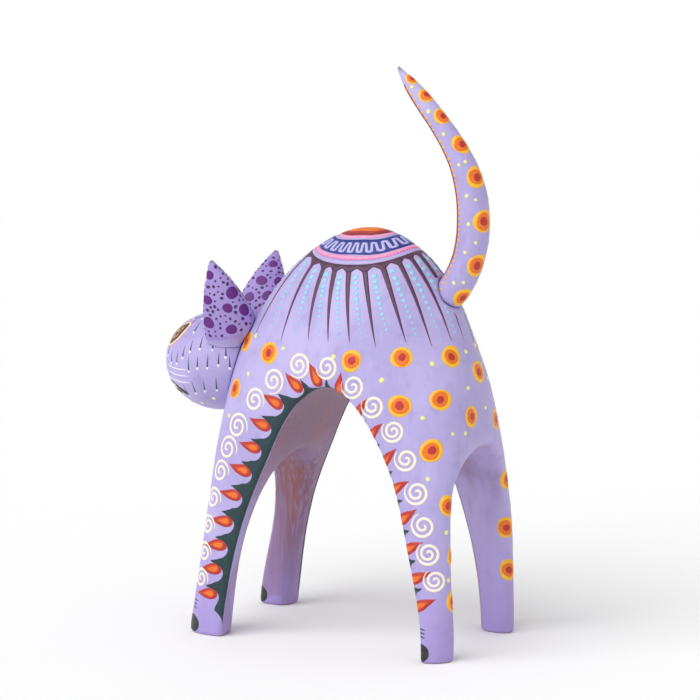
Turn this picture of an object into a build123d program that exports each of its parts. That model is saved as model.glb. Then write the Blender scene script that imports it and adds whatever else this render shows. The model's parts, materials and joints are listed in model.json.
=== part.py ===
"""Carved and painted wooden cat with an arched back, standing on four straight legs.

The cat faces -Y, its left side is +X and +Z is up. The origin is on the floor, in the
middle of the figure's bounding box. All sizes are in millimetres.
"""
from build123d import *
from math import cos, pi, sin, tanh
import os

# Torso and legs: one carved block, a splayed skirt under a domed back
FLOOR_HALF_X = 46.0  # half width over the feet
FLOOR_HALF_Y = 76.6  # half length over the feet
FLANK_HALF_X = 40.0  # half width where the dome starts
FLANK_HALF_Y = 69.5  # half length where the dome starts
FLANK_Z = 115.0  # height where the splayed sides turn into the dome
CROWN_Z = 208.0  # height of the arched back
CROWN_FLAT = 0.3  # the dome stops this far below its mathematical apex
DOME_RISE_POWER = 1.8  # how late the dome starts to close in
DOME_ROUND_POWER = 0.55  # how blunt its top is; 0.5 with a rise power of 2 is a true ellipse
STANCE_Y = 15.0  # middle of the feet
FLANK_Y = 19.5  # middle of the torso
FLANK_Y_FROM_Z = 60.0  # the torso's middle stays there from this height up
CROWN_Y = 26.0  # middle of the dome at its top
CROWN_Y_FROM_Z = 150.0  # the dome starts to lean back at this height
SQUARENESS = 6.0  # added to the exponent 2 of a true ellipse, over the feet
SQUARENESS_FADE_FROM_Z = 60.0
SQUARENESS_FADE_TO_Z = 180.0
SQUARENESS_FADE_POWER = 2.5
OUTLINE_POINTS = 32
SECTION_HEIGHTS = [0, 22, 46, 70, 94, 115, 134, 151, 166, 179, 189, 197, 203, 206.5]

# Openings between the legs
BELOW_FLOOR = 6.0  # both tunnels are cut from this far under the feet
SIDE_ARCH = [  # (Y, Z) places on the left flank
    (-37.0, -BELOW_FLOOR),
    (-33.5, 22.0),
    (-24.5, 61.0),
    (-10.0, 96.0),
    (3.5, 120.0),
    (21.0, 131.0),
    (36.0, 123.5),
    (48.7, 107.0),
    (59.2, 86.0),
    (66.7, 60.0),
    (73.5, 31.0),
    (76.5, -BELOW_FLOOR),
]
SIDE_ARCH_SKEW = 0.065  # the side arch runs back by this much for each millimetre to the left
END_ARCH = [(28.5, -BELOW_FLOOR), (28.2, 38.0), (26.2, 63.0), (19.0, 80.0), (0.0, 87.0)]
END_ARCH_WIDENING = 1.16  # growth of the end arch's width over the tunnel reach, both ways
CHEST_ARCH_RISE = 1.16  # growth of its height towards the chest
RUMP_ARCH_RISE = 1.30  # growth of its height towards the rump
TUNNEL_REACH = 130.0
SIDE_MOUTH_RADIUS = 2.5
END_MOUTH_RADIUS = 5.0
INNER_EDGE_RADIUS = 7.0
EDGE_SORTING_MARGIN = 5.0  # edges this near to the flanks count as mouths of the side arch

# Head: an egg lying along Y, coped to fit the chest
HEAD_Y = -62.5
HEAD_Z = 135.0
HEAD_HALF_LENGTH = 30.0
HEAD_RADIUS = 25.6
GLUE_LINE = 0.1
NECK_DOWEL_RADIUS = 5.0
NECK_DOWEL_FRONT_Y = -72.0
NECK_DOWEL_REAR_Y = -24.0
DOWEL_GLUE_GAP = 0.05

# Ears: thick leaves with a hollowed front, each on a round peg
EAR_TIP = Vector(34.0, -48.5, 192.5)  # the left ear's tip
EAR_LEAN_X = 0.54  # the ear's tip leans out by this much for each millimetre of height
EAR_LEAN_Y = -0.02
EAR_DROP = 42.0  # vertical distance from the tip to the lowest section
EAR_TIP_DROP = 2.2  # the tip is blunt: the first section is this far below it
EAR_SECTIONS = 6
EAR_HALF_WIDTH = 14.0
EAR_FRONT_DEPTH = 11.0
EAR_BACK_DEPTH = 17.5
EAR_ROUNDING_DROP = 27.0  # the ear has three quarters of its full width this far below its tip
EAR_HOLLOW = 0.5  # share of the front depth by which the front face curves in
EAR_RIM_RADIUS = 0.4
EAR_CLEARANCE = 0.35
EAR_ROOT_DROP = 39.5  # vertical distance from the tip to where the ear's axis meets the head
EAR_PEG_RADIUS = 2.0
EAR_PEG_DEPTH_IN_EAR = 10.0
EAR_PEG_DEPTH_IN_HEAD = 10.0
PEG_CLEARANCE = 0.06
PEG_END_GAP = 0.5

# Tail: a curved, tapering horn with an oval plug; places are (Y, Z) pairs
TAIL_ROOT = (68.6, 174.0)
TAIL_PATH = [
    TAIL_ROOT,
    (76.5, 185.5),
    (82.6, 206.0),
    (79.9, 233.0),
    (67.0, 256.5),
    (53.6, 272.8),
    (41.0, 288.0),
]
TAIL_TIP_DIRECTION = (-0.63, 0.776)
TAIL_RADII = [7.5, 8.1, 8.3, 8.1, 7.1, 5.9, 5.2, 4.2, 0.8]
TAIL_SIDE_RATIO = 0.93  # width across X, as a share of the width seen from the side
TAIL_ROOT_RADIUS = 1.5
PLUG_DIRECTION = (0.573, 0.82)
PLUG_HALF_X = 4.6
PLUG_HALF_Y = 3.6
PLUG_LENGTH = 15.0
PLUG_CLEARANCE = 0.09
SOCKET_END_GAP = 0.6
SEAT_GAP = 0.3
SEAT_MARGIN = 0.5
SEAT_DEPTH = 12.0


def torso_section(z, grow):
    """Half width, half length, middle Y and squareness of the torso at one height."""
    rise = max(0.0, (z - FLANK_Z) / (CROWN_Z - FLANK_Z))
    dome = (1 - rise**DOME_RISE_POWER) ** DOME_ROUND_POWER
    splay = max(0.0, 1 - z / FLANK_Z)
    half_x = (FLANK_HALF_X + splay * (FLOOR_HALF_X - FLANK_HALF_X)) * dome + grow
    half_y = (FLANK_HALF_Y + splay * (FLOOR_HALF_Y - FLANK_HALF_Y)) * dome + grow
    forward = max(0.0, 1 - z / FLANK_Y_FROM_Z)
    backward = max(0.0, (z - CROWN_Y_FROM_Z) / (CROWN_Z - CROWN_Y_FROM_Z))
    middle = FLANK_Y + forward * (STANCE_Y - FLANK_Y) + backward * (CROWN_Y - FLANK_Y)
    fade_span = SQUARENESS_FADE_TO_Z - SQUARENESS_FADE_FROM_Z
    unfaded = min(1.0, max(0.0, (SQUARENESS_FADE_TO_Z - z) / fade_span))
    squareness = unfaded**SQUARENESS_FADE_POWER
    return half_x, half_y, middle, 2 + SQUARENESS * squareness


def torso_outline(z, grow):
    """Points of the rounded rectangle or oval that the torso has at one height."""
    half_x, half_y, middle, power = torso_section(z, grow)
    points = []
    for step in range(OUTLINE_POINTS):
        angle = 2 * pi * step / OUTLINE_POINTS
        reach = (abs(cos(angle)) ** power + abs(sin(angle)) ** power) ** (-1 / power)
        points.append((half_x * reach * cos(angle), middle + half_y * reach * sin(angle)))
    return points


def torso_block(grow=0.0):
    """The uncut torso, from the floor to the arched back."""
    with BuildPart() as block:
        for z in SECTION_HEIGHTS + [CROWN_Z - CROWN_FLAT]:
            with BuildSketch(Plane.XY.offset(z)):
                with BuildLine():
                    Spline(*torso_outline(z, grow), periodic=True)
                make_face()
        loft()
    return block.part


def head_egg(grow=0.0):
    """The head before it is coped: an egg turned about a line along Y."""
    front = (HEAD_Y - HEAD_HALF_LENGTH - grow, HEAD_Z)
    rear = (HEAD_Y + HEAD_HALF_LENGTH + grow, HEAD_Z)
    with BuildPart() as egg:
        with BuildSketch(Plane.YZ):
            with BuildLine():
                EllipticalCenterArc(
                    (HEAD_Y, HEAD_Z),
                    HEAD_HALF_LENGTH + grow,
                    HEAD_RADIUS + grow,
                    start_angle=0,
                    arc_size=180,
                )
                Line(rear, front)
            make_face()
        revolve(axis=Axis((0, HEAD_Y, HEAD_Z), (0, 1, 0)))
    return egg.part


def ear_axis(side):
    """Unit vector from the ear's root to its tip."""
    return Vector(side * EAR_LEAN_X, EAR_LEAN_Y, 1).normalized()


def ear_point(side, drop):
    """Point on the ear's axis, a vertical distance below its tip."""
    tip = Vector(side * EAR_TIP.X, EAR_TIP.Y, EAR_TIP.Z)
    return tip - Vector(side * EAR_LEAN_X, EAR_LEAN_Y, 1) * drop


def ear_plane(side, drop):
    """Plane across the ear's axis, with its own Y axis towards the back of the head."""
    return Plane(origin=ear_point(side, drop), x_dir=(1, 0, -side * EAR_LEAN_X), z_dir=ear_axis(side))


def ear_leaf(side):
    """The whole ear before its root is coped: a half oval with a hollowed front, fading to the tip."""
    rise = EAR_DROP - EAR_TIP_DROP
    with BuildPart() as leaf:
        for step in range(EAR_SECTIONS):
            drop = EAR_TIP_DROP + rise * step / (EAR_SECTIONS - 1)
            fullness = tanh(drop / EAR_ROUNDING_DROP)
            half_width = EAR_HALF_WIDTH * fullness
            front = -EAR_FRONT_DEPTH * fullness
            depth = (EAR_FRONT_DEPTH + EAR_BACK_DEPTH) * fullness
            corners = (-half_width, front), (half_width, front)
            with BuildSketch(ear_plane(side, drop)):
                with BuildLine():
                    EllipticalCenterArc((0, front), half_width, depth, start_angle=0, arc_size=180)
                    ThreePointArc(corners[0], (0, front * EAR_HOLLOW), corners[1])
                make_face()
        loft()
        rims = leaf.edges().filter_by(lambda edge: edge.bounding_box().size.Z > EAR_DROP / 2)
        fillet(rims, radius=EAR_RIM_RADIUS)
    return leaf.part


def ear_peg_solid(side, radius, extra_depth=0.0):
    """Cylinder along the ear's axis, from inside the head to inside the ear."""
    depth_in_head = EAR_PEG_DEPTH_IN_HEAD + extra_depth
    start = ear_point(side, EAR_ROOT_DROP) - ear_axis(side) * depth_in_head
    with BuildPart() as peg:
        with BuildSketch(Plane(origin=start, z_dir=ear_axis(side))):
            Circle(radius)
        extrude(amount=depth_in_head + EAR_PEG_DEPTH_IN_EAR)
    return peg.part


def neck_dowel_solid(gap=0.0):
    """Cylinder along Y that joins the head to the chest."""
    front = (0, NECK_DOWEL_FRONT_Y - gap, HEAD_Z)
    with BuildPart() as dowel:
        with BuildSketch(Plane(origin=front, z_dir=(0, 1, 0))):
            Circle(NECK_DOWEL_RADIUS + gap)
        extrude(amount=NECK_DOWEL_REAR_Y - NECK_DOWEL_FRONT_Y + 2 * gap)
    return dowel.part


def plug_plane(lift):
    """Plane across the tail's plug, a distance out of the tail's root."""
    root = Vector(0, TAIL_ROOT[0], TAIL_ROOT[1])
    axis = Vector(0, PLUG_DIRECTION[0], PLUG_DIRECTION[1]).normalized()
    return Plane(origin=root + axis * lift, x_dir=(1, 0, 0), z_dir=axis)


def tail_plug(clearance=0.0, end_gap=0.0):
    """Oval plug that runs from the tail's root into the rump."""
    with BuildPart() as plug:
        with BuildSketch(plug_plane(0)):
            Ellipse(PLUG_HALF_X + clearance, PLUG_HALF_Y + clearance)
        extrude(amount=-(PLUG_LENGTH + end_gap))
    return plug.part


def tail_seat():
    """Oval recess in the rump that the tail's flat end sits in."""
    with BuildPart() as seat:
        with BuildSketch(plug_plane(-SEAT_GAP)):
            Ellipse(TAIL_RADII[0] * TAIL_SIDE_RATIO + SEAT_MARGIN, TAIL_RADII[0] + SEAT_MARGIN)
        extrude(amount=SEAT_DEPTH)
    return seat.part


def side_arch():
    """Tunnel across the body between the front and the rear legs."""
    start = (-TUNNEL_REACH, -SIDE_ARCH_SKEW * (TUNNEL_REACH + FLANK_HALF_X), 0)
    with BuildPart() as tunnel:
        with BuildSketch(Plane(origin=start, x_dir=(0, 1, 0), z_dir=(1, 0, 0))):
            with BuildLine():
                Spline(*SIDE_ARCH)
                Line(SIDE_ARCH[-1], SIDE_ARCH[0])
            make_face()
        extrude(amount=2 * TUNNEL_REACH, dir=(1, SIDE_ARCH_SKEW, 0))
    return tunnel.part


def end_arch():
    """Tunnel along the body between the left and the right legs, wider towards its two mouths."""
    right_half = [(-x, z) for x, z in END_ARCH[:-1]]
    profile = right_half + END_ARCH[::-1]
    mouths = ((-TUNNEL_REACH, CHEST_ARCH_RISE), (TUNNEL_REACH, RUMP_ARCH_RISE))
    with BuildPart() as tunnel:
        for reach, rise in mouths:
            for distance, wide, high in ((0, 1, 1), (reach, END_ARCH_WIDENING, rise)):
                points = [(x * wide, z * high) for x, z in profile]
                with BuildSketch(Plane.XZ.offset(-FLANK_Y - distance)):
                    with BuildLine():
                        Spline(*points)
                        Line(points[-1], points[0])
                    make_face()
            loft(ruled=True)
    return tunnel.part


def is_side_mouth(edge):
    """True for the edges where the side arch opens on the left or the right."""
    box = edge.bounding_box()
    limit = FLANK_HALF_X - EDGE_SORTING_MARGIN
    return box.size.Z > FLANK_Z / 2 and (box.min.X > limit or box.max.X < -limit)


def is_end_mouth(edge):
    """True for the edges where the end arch opens at the chest and at the rump."""
    box = edge.bounding_box()
    outside = box.max.Y < SIDE_ARCH[0][0] or box.min.Y > SIDE_ARCH[-1][0]
    return box.size.Z > END_ARCH[1][1] and outside


def is_inner_edge(edge):
    """True for the edges where the two arches meet under the belly."""
    box = edge.bounding_box()
    inside = max(abs(box.max.X), abs(box.min.X)) < FLANK_HALF_X - EDGE_SORTING_MARGIN
    return inside and box.size.Z > END_ARCH[1][1] and not is_end_mouth(edge)


# Body: torso and legs in one carved piece
with BuildPart() as body:
    add(torso_block())
    add(side_arch(), mode=Mode.SUBTRACT)
    add(end_arch(), mode=Mode.SUBTRACT)
    fillet(body.edges().filter_by(is_inner_edge), radius=INNER_EDGE_RADIUS)
    fillet(body.edges().filter_by(is_side_mouth), radius=SIDE_MOUTH_RADIUS)
    fillet(body.edges().filter_by(is_end_mouth), radius=END_MOUTH_RADIUS)
    add(neck_dowel_solid(DOWEL_GLUE_GAP), mode=Mode.SUBTRACT)
    add(tail_seat(), mode=Mode.SUBTRACT)
    add(tail_plug(PLUG_CLEARANCE, SOCKET_END_GAP), mode=Mode.SUBTRACT)
body.part.label = "body"

# Head: coped to the chest, with holes for the neck dowel and the ear pegs
with BuildPart() as head:
    add(head_egg())
    add(torso_block(GLUE_LINE), mode=Mode.SUBTRACT)
    add(neck_dowel_solid(DOWEL_GLUE_GAP), mode=Mode.SUBTRACT)
    for side in (1, -1):
        add(ear_peg_solid(side, EAR_PEG_RADIUS + PEG_CLEARANCE, PEG_END_GAP), mode=Mode.SUBTRACT)
head.part.label = "head"

with BuildPart() as neck_dowel:
    add(neck_dowel_solid())
neck_dowel.part.label = "neck_dowel"


def ear(side):
    """Ear with its root coped to the head and the shoulder, and a blind hole for its peg."""
    with BuildPart() as piece:
        add(ear_leaf(side))
        add(head_egg(EAR_CLEARANCE), mode=Mode.SUBTRACT)
        add(torso_block(EAR_CLEARANCE), mode=Mode.SUBTRACT)
        add(ear_peg_solid(side, EAR_PEG_RADIUS), mode=Mode.SUBTRACT)
    return piece.part


with BuildPart() as left_ear:
    add(ear(1))
left_ear.part.label = "left_ear"

with BuildPart() as right_ear:
    add(ear(-1))
right_ear.part.label = "right_ear"

with BuildPart() as left_ear_peg:
    add(ear_peg_solid(1, EAR_PEG_RADIUS))
left_ear_peg.part.label = "left_ear_peg"

with BuildPart() as right_ear_peg:
    add(ear_peg_solid(-1, EAR_PEG_RADIUS))
right_ear_peg.part.label = "right_ear_peg"

# Tail: oval sections along a curve that leaves the rump, swings back and then leans forward
with BuildLine(Plane.YZ) as tail_curve:
    Spline(*TAIL_PATH, tangents=[PLUG_DIRECTION, TAIL_TIP_DIRECTION])

with BuildPart() as tail:
    centre_line = tail_curve.wires()[0]
    for step, radius in enumerate(TAIL_RADII):
        share = step / (len(TAIL_RADII) - 1)
        across = Plane(origin=centre_line @ share, x_dir=(1, 0, 0), z_dir=centre_line % share)
        with BuildSketch(across):
            Ellipse(radius * TAIL_SIDE_RATIO, radius)
    loft()
    fillet(tail.edges().group_by(Axis.Z)[0], radius=TAIL_ROOT_RADIUS)
    add(tail_plug())
tail.part.label = "tail"

os.makedirs("parts", exist_ok=True)
for piece in (body, head, neck_dowel, left_ear, right_ear, left_ear_peg, right_ear_peg, tail):
    export_step(piece.part, f"parts/{piece.part.label}.step")
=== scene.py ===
"""Looks of the carved and painted cat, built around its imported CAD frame.

The cat faces -Y, its left side is +X and +Z is up. Sizes and places are in millimetres and
become metres when a mesh is made. Each carved piece is a refined copy of its CAD node, and
the decoration is thin raised paint that is laid on the carved surfaces.
"""

import json
import math
import random

import bpy
import numpy as np
from mathutils import Matrix, Vector, noise
from mathutils.bvhtree import BVHTree


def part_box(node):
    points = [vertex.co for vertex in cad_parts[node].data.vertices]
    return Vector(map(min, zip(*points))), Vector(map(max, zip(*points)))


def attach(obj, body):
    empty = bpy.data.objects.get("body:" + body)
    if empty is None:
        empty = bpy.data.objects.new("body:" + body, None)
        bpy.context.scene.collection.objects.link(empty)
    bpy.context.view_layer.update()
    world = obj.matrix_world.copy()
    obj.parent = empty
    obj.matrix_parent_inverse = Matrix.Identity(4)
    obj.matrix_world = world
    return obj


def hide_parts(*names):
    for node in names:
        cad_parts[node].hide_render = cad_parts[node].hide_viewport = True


METRE = 0.001  # metres in one millimetre
UP = Vector((0, 0, 1))

# Carving: voxel sizes of the refined pieces, and the knife's uneven surface
VOXELS = {"body": 1.25, "head": 0.8, "left_ear": 0.55, "right_ear": 0.55, "tail": 0.65}
CARVING_WAVES = ((38.0, 0.22), (9.0, 0.09))  # (size, height)
ROOT_FROM = 39.0  # the ear runs out against the head from this far below its tip
ROOT_LENGTH = 6.0
ROOT_THICKEST = 9.0
ROOT_THIN = 0.3
ROOT_SHARE = 0.16  # thickness that is left there, as a share
PEG_HOLE = (2.6, 11.5)  # (radius, reach each way) of the bare wood round a hole's middle
DOWEL_HOLE = (5.6, 26.0)
SEAT_HOLE = (7.4, 7.9)
SEAT_DEPTH = 8.3  # the middle of the tail's hole is this far under its seat
PLUG_ZONE = (6.4, 9.3)
PLUG_DEPTH = 9.5
TAIL_SEAT = Vector((0, 68.6, 174.0))  # where the tail's middle line leaves the rump
SEAT_RADIUS = 9.3  # nothing is painted on the back this near to it
BODIES = {"body": "cat", "head": "cat", "left_ear": "left_ear", "right_ear": "right_ear", "tail": "tail"}
SLOTS = {"body": "painted_body", "head": "painted_head", "left_ear": "painted_ears"}
SLOTS.update({"right_ear": "painted_ears", "tail": "painted_tail"})
ABOVE_ALL = 400.0  # a height above the whole cat
STRIDE = 1.1  # longest step of a walk along a surface

# Ground colours, as sRGB
LAVENDER = ("a79ccf", "b7acdc", "968ac1")  # base, light, dark
EAR_LAVENDER = ("9883c6", "a692d2", "8a76ba")
# Darker lavender that the body turns to towards the floor, most at the soles
LOW_LAVENDER = "9784c6"
STAIN = "82566c"
RUST = "985a44"
WOOD = "c79b66"
WOOD_DARK = "8a5f38"
GREYED = "6d5e62"
BLACK = "262427"
RED = "ba2c20"
ORANGE = "e87214"
PINK = "ee9cc8"
PURPLE = "60107c"

# Motif paints: colour, the second colour it is mottled with and, if any, its rim's colour
PAINTS = {
    "plum": ("52304a", "653a5c"),
    "navy": ("29378a", "3a4aa6"),
    "lilac": ("bdb8e8", LAVENDER[1]),
    "pink": (PINK, "f4b4d8"),
    "hot_pink": ("ee5fa4", PINK),
    "lavender_band": (LAVENDER[1], LAVENDER[0]),
    "turquoise": ("93cfe2", "a6e4ee"),
    "yellow": ("f8ba18", "ffd23e"),
    "pale_yellow": ("eaee8e", "f6f3b4"),
    "orange": (ORANGE, "f28a2c"),
    "red": (RED, "a82424"),
    "dark_red": ("8c1f24", RED),
    "drop": (ORANGE, "dc5418", RED),
    "cream": ("f4ead0", "fffaf0"),
    "white": ("e9e6f9", "d9d4f2"),
    "green": ("103238", "1a4448"),
    "purple": (PURPLE, "64147c"),
    "dark_purple": ("4d1560", PURPLE),
    "black": (BLACK, "3a3638"),
    "magenta": ("8e1850", "a3245c"),
    "teal": ("2d4660", "3f7480"),
    "brown": ("6e4438", "8c5c4c"),
    "blush": ("c48a78", "b06a50"),
}

# Paint thickness
PAINT_SUNK = 0.12  # how far each dab reaches under the surface
EDGE = 0.02  # height of a dab at its outline
THIN = 0.07
THICK = 0.13
BEAD = 0.24

# Rings on the back, as distances from its top along the surface on the flanks
POLE_Y = 24.0
RING_STRETCH = 4.4  # the rings are this much further out at the front and the rear
PLUM_INNER = 28.2
RINGS = (5.8, 7.7, 9.8, 11.8, 13.2, 22.6, 23.0, 25.3, PLUM_INNER)  # edges of the coloured bands
BANDS = [(0, "red", THIN), (1, "dark_red", THIN), (2, "pink", THIN), (3, "lavender_band", THIN - 0.02)]
BANDS += [(4, "navy", THIN), (6, "pink", THIN), (7, "lavender_band", THIN - 0.02)]
# Each band is (number of its inner edge, colour, height)
KEY_INNER = 15.5
KEY_OUTER = 20.7
KEY_PERIODS = 21
KEY_DEGREE = 0.26  # millimetres for each degree, about, at the key pattern
PETAL_TOP = 30.4
PETAL_RISE = 3.9
PETAL_COLUMNS = 32
SPIKE_TIP_Z = 152.5
SPIKES = [(-72, -66), (-51, -44), (-33, -23), (-16, -5), (4, 14), (25, 34), (45, 53), (61, 66)]
SPIKES += [(73, 77), (84, 85)]  # (degrees at the ring, degrees at the tip) on the left side
BEADS_PER_PETAL = 13

# Border along the arch: s runs along its edge from the front foot, d away from the opening
ARCH_CENTRE_Z = 42.0
ARCH_PLANE_X = 37.0
ARCH_SWEEP = (224.0, -43.0, -0.75)  # degrees of the rays that find it: first, last, step
DROP_COUNT = 20
DROP_S = [(-0.5, 12.3), (0, 18.5), (3, 55.7), (4, 69.8), (6, 96), (9, 133.8), (10, 143.8), (11, 155)]
DROP_S += [(12, 169.6), (13, 182.4), (15, 211.4), (18, 256), (19, 269), (19.5, 276.8)]  # (number, s)
DROP_D = [(0, 11.3), (122, 11.4), (134, 9.0), (145, 7.0), (155, 3.0), (168, 1.3), (196, 2.0)]
DROP_D += [(212, 2.9), (242, 3.2), (271, 4.6)]  # (s, d)
DROP_LENGTH = 14.6
DROP_WIDTH = 6.0
DROP_HEART = -0.2 * DROP_LENGTH  # the thickest part is this far from the drop's middle
DROP_TILT = math.radians(15)
CUSP_RISE = [(125, 5.6), (145, 3.8), (170, 4.6), (270, 5.4)]  # height of the border's points
SPIRAL_COUNT = 19
SPIRAL_S = [(0, 24.8), (3, 63.5), (4, 76.5), (6, 101), (7, 116), (9, 138.7), (10, 148.3), (12, 172.5)]
SPIRAL_S += [(14, 201), (16, 232), (18, 259)]  # (number, s)
SPIRAL_D = [(0, 15.2), (40, 18), (60, 20.5), (90, 24), (105, 23.5), (126, 18), (138, 15), (149, 10)]
SPIRAL_D += [(160, 7.4), (175, 8.6), (187, 11.2), (217, 11.6), (245, 11.4), (262, 12)]  # (s, d)
SPIRAL_RADIUS = [(0, 5.084), (6, 6.51), (9, 6.51), (11, 6.014)]  # (number, radius)
INNER_X = 33.0  # the walls between the legs are nearer to the middle than this
FRONT_Y = 20.0  # the wash of the front legs ends here
WALL_DEPTH = 2.2  # a point this near to the arch's edge in the side view is on its wall
FAR_INNER = -2.6  # the right border turns further into the arch
BAND_END = 5.0  # the border ends in a point this far above the floor

# Ringed flowers and small dots on the torso: (degrees about the torso's axis, height)
FLOWER_RADIUS = 5.6
LEG_FLOWER_RADIUS = 0.72 * FLOWER_RADIUS
FLOWERS = [(-69, 148.5), (-45, 145.5), (24, 145), (53.5, 147.5), (76, 147.5), (-62, 125.5)]
FLOWERS += [(50, 124.5), (66.5, 127.5), (60, 103.5), (64, 77), (65, 52), (65, 30)]
LEG_FLOWERS = [(-73, 99), (-66.5, 72), (-67, 46)]  # smaller ones, on the front of the front legs
REAR_FLOWERS = [(91, 138.5), (80.5, 118), (103, 113)]
SMALL_DOTS = [(-34.5, 148.5), (10, 146.5), (42.5, 136.5), (66.5, 144.5), (85, 149), (-55, 134)]
SMALL_DOTS += [(-62, 152.5), (80.5, 132), (58.5, 119), (69, 111), (75.5, 110.5), (57.5, 90)]
SMALL_DOTS += [(62, 64.5), (62.5, 41), (-60, 112), (-65, 86), (-64, 59), (-65, 33)]
REAR_DOTS = [(92.5, 120.5)]

# Feet: toe patches, and the short lines above them
TOE_Z = 5.5
TOE_RADIUS = 4.9
TICK_Z = 13.0
TICK_STEP = 1.9

# Head: places are (Y, Z) on its side, and (X, Y) on its top
EYE = (-79.4, 150.0)
EYE_LAYERS = [(10.4, 0.62, 0.06, 0), (9.3, 0.57, 0.1, 1), (8.3, 0.52, 0.14, 2), (6.9, 0.47, 0.18, 3)]
WHISKERS = [(-84.5, 133.6, -67.5, 132.6), (-84.5, 130.4, -67.0, 129.2), (-84.0, 127.0, -67.3, 125.6)]
MOUTH_HALF = 19.3
MOUTH_Z = 124.4
MOUTH_DROP = 3.2  # its ends are this much lower than its middle
MOUTH_THICK = 2.4
NOSE_Z = 133.0
NOSE_RADIUS = 4.2
HAIRS = [(-60.5, 144), (-54, 144), (-66.5, 142), (-47, 140), (-71, 139), (-75.5, 136), (-80, 135.5)]
HAIRS += [(-66.5, 132), (-61.5, 134), (-56, 135), (-50, 136.5), (-44.5, 135), (-71, 118), (-65, 120)]
HAIRS += [(-58.5, 122), (-52, 123), (-46, 124), (-67, 152), (-72, 155), (-84.5, 138.5), (-76, 119)]
CHEEK_DOTS = [(-56, 117.6), (-65, 114.2), (-75, 113.6), (-48, 114.5)]
BROW_DOTS = [(5.0, -83), (-5.0, -83), (0.0, -76)]
TOP_HAIRS = [(4.5, -64), (11.5, -66), (3.5, -57), (10, -58), (4.5, -50), (9, -73), (3, -72), (12, -50)]

# Ears and tail
EAR_BIG_DOTS = [(33, -49, 183), (31, -51.5, 170), (27.7, -53, 158), (27, -39, 174), (27.6, -41.7, 166)]
EAR_BIG_DOTS += [(21.6, -35.2, 165), (24, -41.7, 154.7), (25, -45.7, 184), (16, -47.5, 176)]
EAR_BIG_DOTS += [(8.6, -50.4, 168), (20.4, -39.4, 175.4), (12, -41.5, 168.7), (24, -60, 172), (17, -62, 164)]
EAR_BIG_RADIUS = 3.15
EAR_SLIM_Z = 178.0  # the big dots are smaller above this height
EAR_GAP = 1.35  # between a big dot and the middle of a small one
EAR_DOT_GAP = 2.3  # between the middles of two small dots
EAR_GUESSES = 2600
EAR_TIP = Vector((34, -48.5, 191))
TAIL_FLOWERS = [(176.5, 5.2), (194, 5.7), (213.5, 5.8), (233, 5.6), (248, 5.2), (261.5, 4.7), (272, 4.2)]
TAIL_FLOWERS += [(281, 3.5)]  # (height, radius)
TAIL_FLOWER_SIDE = 66
TAIL_SIDE_DOTS = [184, 198, 211.5, 225.5, 239.5, 254.5, 266, 277]
TAIL_STRIPE_HALF = 46  # degrees each side of the inner line
TAIL_BEAD_STEP = 2.8

# Light
SUN_ENERGY = 1.95
SUN_WIDTH = 56.0  # degrees across
SUN_FROM = (0.74, -0.3, 0.78)

# Floor: (radius, height) of its rings, in metres
FLOOR_RINGS = [(0.4, 0), (1, 0), (2, 0), (4, 0), (8, 0), (14, 0), (20, 0.3), (25, 1.6), (28, 4), (29, 8)]
FLOOR_SIDES = 96

# Camera, behind the cat's left hip
CAMERA_PLACE = (1150.1, 643.8, 314.7)
CAMERA_AZIMUTH = 118.71  # degrees: the camera looks along +Y at 0 and along -X at 90
CAMERA_PITCH = 7.375  # degrees below level
FOCAL_SHARE = 3.73  # focal length as a share of the picture's side
SENSOR = 36.0


def linear(colour):
    """Linear RGBA of a six-digit sRGB colour."""
    channels = [int(colour[i : i + 2], 16) / 255 for i in (0, 2, 4)]
    return [c / 12.92 if c <= 0.04045 else ((c + 0.055) / 1.055) ** 2.4 for c in channels] + [1.0]


def at_station(stations, s):
    """Value at s of a list of (station, value) pairs, with straight runs between them."""
    return float(np.interp(s, [a for a, _ in stations], [b for _, b in stations]))


# ---------------------------------------------------------------- materials


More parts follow.
